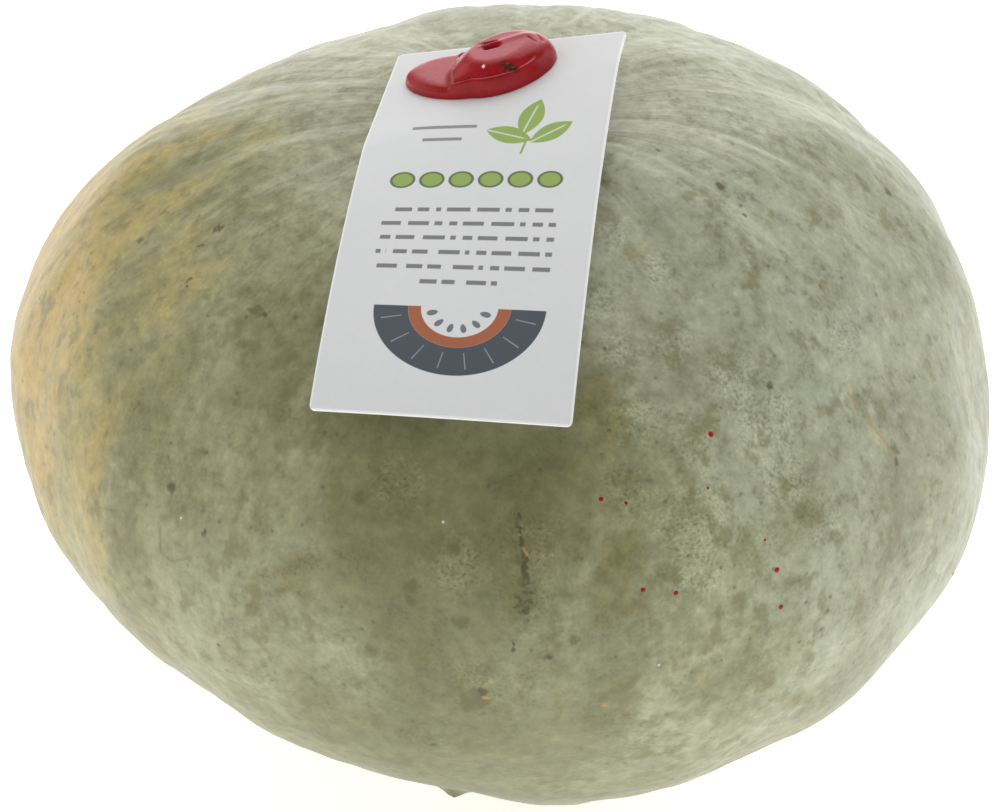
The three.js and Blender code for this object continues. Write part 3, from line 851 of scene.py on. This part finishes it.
def oval_reach(oval, turn):
    """How far out from the dome's middle, along a turn, a ray leaves an oval: the far root of the ray's
    place in the oval's own radii, which is 1 on the oval; 0 where the ray misses."""
    middle_across, middle_down, half_width, half_length, lean = oval
    across_start = (DOME[0] - middle_across) / half_width
    down_start = (DOME[1] - middle_down - lean * (DOME[0] - middle_across)) / half_length
    across_step = np.cos(turn) / half_width
    down_step = (np.sin(turn) - lean * np.cos(turn)) / half_length
    a = across_step ** 2 + down_step ** 2
    b = across_start * across_step + down_start * down_step
    inside = b * b - a * (across_start ** 2 + down_start ** 2 - 1)
    return np.where(inside > 0, np.maximum(0, (-b + np.sqrt(np.maximum(inside, 0))) / a), 0)


def dent(across, down, middle, turn, half_length, half_width):
    """A long bell-shaped dent, 1 at its middle: exp(-(along / half length)^4 - (off / half width)^2)."""
    a = across - middle[0]
    d = down - middle[1]
    along = (a * math.cos(turn) + d * math.sin(turn)) / half_length
    off = (d * math.cos(turn) - a * math.sin(turn)) / half_width
    return np.exp(-along ** 4 - off ** 2)


def wax_height(across, down, share, turn):
    """Height over the card: the tongue's, rising to the dome's, and rounded down to nothing at the edge,
    where `share` of the way from the dome's middle is 1. The dome's flow ends in a step on the tongue and in
    a thick lip along its front, with a trough behind it; bell-shaped dents and folds mark its top, and a pit
    and a bubble its front."""
    aside = across - DOME[0]
    out = np.hypot(aside / DOME[2], (down - DOME[1] - DOME[4] * aside) / DOME[3])
    body = TONGUE_HEIGHT + (DOME_HEIGHT - TONGUE_HEIGHT) * (1 - smooth(out, DOME_CROWN, DOME_END))
    height = body * np.maximum(0, 1 - share ** 16) ** 0.5
    seam = across + 9.0 + 0.35 * np.sin(down * 1.3)
    flow = smooth(seam, -0.15, 0.25)
    rounded = 1 - smooth(share, 0.92, 1)
    height += (0.6 * flow - 0.25) * rounded
    front = smooth(np.sin(turn), 0.15, 0.6) * flow
    lip = 0.35 * np.exp(-((share - 0.93) / 0.05) ** 2) - 0.5 * np.exp(-((share - 0.84) / 0.035) ** 2)
    height += front * rounded * lip
    height -= 1.7 * dent(across, down, (-0.6, 11.4), -0.3, 1.5, 0.42)
    height -= 0.5 * dent(across, down, (-1.5, 9.6), -0.2, 1.7, 0.35)
    height += 0.3 * dent(across, down, (-1.0, 10.5), -0.25, 2.2, 0.4)
    height += 0.35 * dent(across, down, (4.0, 8.6), -0.35, 4.5, 0.9)
    height -= 0.5 * dent(across, down, (3.9, 17.4), -0.3, 1.5, 0.55)
    height += 0.35 * dent(across, down, (-1.3, 18.0), 0, 0.32, 0.32)
    height -= 0.5 * dent(across, down, (8.6, 7.4), 0.9, 1.3, 0.3) * rounded
    height -= 0.35 * dent(across, down, (7.4, 9.2), 0.5, 1.2, 0.25)
    height -= 0.4 * dent(across, down, (-8.2, 12.6), 1.2, 0.9, 0.3)
    return np.maximum(height, 0)


wax_turn = 2 * np.pi * np.arange(WAX_TURNS) / WAX_TURNS
reach = np.maximum(oval_reach(DOME, wax_turn), oval_reach(TONGUE, wax_turn))
share = (np.arange(1, WAX_RINGS + 1) / WAX_RINGS)[:, None] + np.zeros(WAX_TURNS)
share = np.sin(share * math.pi / 2) ** 0.9
across = DOME[0] + reach * share * np.cos(wax_turn)
down = DOME[1] + reach * share * np.sin(wax_turn)
foot_level = CARD_THICKNESS / 2 + WAX_GAP * 0.2
top = card_points(across, down, foot_level + wax_height(across, down, share, wax_turn + np.zeros_like(share)))
under = card_points(across, down, np.full_like(across, foot_level))[::-1][1:]
dome_middle = np.array(DOME[:2])
middle_top = card_points(*dome_middle, foot_level + wax_height(*dome_middle, 0.0, 0.0))
middle_foot = card_points(*dome_middle, foot_level)
# Down runs clockwise seen from above, so the rings are turned to run counter-clockwise.
wax = closed_rings("wax_seal", middle_top, np.concatenate((top, under))[:, ::-1], middle_foot)

flat = np.stack((across, down, share), axis=-1)
flat = np.concatenate((flat, flat[::-1][1:]))[:, ::-1].reshape(-1, 3)
store(wax, "wax_place", np.vstack(((DOME[0], DOME[1], 0), flat, (DOME[0], DOME[1], 0))))

wax_red, wax_shader, place = new_finish(
    "seal_wax", Specular_IOR_Level=0.28, Subsurface_Weight=0.1, Subsurface_Scale=0.002)
cloud = place.noise(160, 3, 0.5)
tone = cloud.tinted((0.3, (0.285, 0.003, 0.006)), (0.7, (0.380, 0.006, 0.012)))
# Where it faces up it is painted a paler pink: a painted sheen of the light from above.
facing_up = place.node("ShaderNodeNewGeometry", {}, {}, "Normal").parts()[2]
tone = tone.over((0.600, 0.170, 0.190), facing_up.ramp(0.72, 1.0) * 0.55)
# Brown crumbs of the stem show in the pit on the dome's front, and a burst bubble beside it gets a painted
# white glint.
on_wax = attribute(place, "wax_place")
pit = on_wax.vector("SUBTRACT", (3.9, 17.4, 0.0)).vector("MULTIPLY", (0.55, 1.3, 0.0)).length()
crumbs = place.noise(1500, 2, 0.6)
tone = tone.over((0.070, 0.012, 0.008), pit.ramp(1.2, 0.8) * 0.85)
tone = tone.over((0.170, 0.125, 0.050), pit.ramp(1.0, 0.7) * crumbs.ramp(0.5, 0.62) * 0.9)
# A painted glint: a white spot on the bubble.
bubble_glint = on_wax.vector("SUBTRACT", (-1.3, 18.0, 0.0)).vector("MULTIPLY", (1.0, 1.0, 0.0)).length()
tone = tone.over((0.900, 0.860, 0.840), bubble_glint.ramp(0.36, 0.2))
ripples = cloud + place.noise(500, 2) * 0.3
bump = place.node("ShaderNodeBump", {}, {"Strength": 0.25, "Distance": 0.0008, "Height": ripples})
spread_paint(wax_shader, Base_Color=tone, Roughness=0.2 + cloud * 0.16, Normal=bump)
wax.data.materials.append(wax_red)
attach(wax, "root")
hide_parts("wax_seal")

# Drops of the same wax that fell on the rind as the seal was poured: flat beads about a millimetre across,
# which hold to the rind by themselves. They are pointwise copies of one bead, turned to the rind's way out.
DROPS = (
    (711, 434, 0.65), (601, 499, 0.5), (708, 488, 0.3), (643, 590, 0.52), (676, 593, 0.5), (777, 570, 0.6),
    (781, 607, 0.55), (765, 540, 0.3), (953, 573, 0.6), (626, 503, 0.35))
DROP_TURNS = 16
DROP_RINGS = 5
spots = [on_fruit(x, y) for x, y, radius in DROPS]
centres = np.array([spot for spot, out in spots])[:, None, None] / MM
outs = np.array([out for spot, out in spots])[:, None, None]
radii = np.array([radius for x, y, radius in DROPS])[:, None, None, None]
firsts = np.cross(outs, (0.0, 0.0, 1.0))
firsts /= np.linalg.norm(firsts, axis=-1, keepdims=True)
seconds = np.cross(outs, firsts)
# Each drop is a low dome over a circle: its height falls as the cosine of the way out to its rim.
lean = (np.arange(1, DROP_RINGS + 1) / DROP_RINGS * math.pi / 2)[None, :, None, None]
around = (2 * np.pi * np.arange(DROP_TURNS) / DROP_TURNS)[None, None, :, None]
rings = centres + radii * (
    np.sin(lean) * (np.cos(around) * firsts + np.sin(around) * seconds) + (0.35 * np.cos(lean) - 0.1) * outs)
tops = centres[:, 0] + radii[:, 0] * 0.25 * outs[:, 0]
feet = centres[:, 0] - radii[:, 0] * 0.1 * outs[:, 0]
each = 2 + DROP_RINGS * DROP_TURNS
points = np.concatenate((tops, rings.reshape(len(DROPS), -1, 3), feet), axis=1).reshape(-1, 3)
start = np.arange(len(DROPS))[:, None, None] * each
walls, caps = ring_faces(DROP_RINGS, DROP_TURNS)
drops = new_piece(
    "wax_drops", points, (start + walls).reshape(-1, 4).tolist() + (start + caps).reshape(-1, 3).tolist())
drops.data.materials.append(wax_red)
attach(drops, "root")
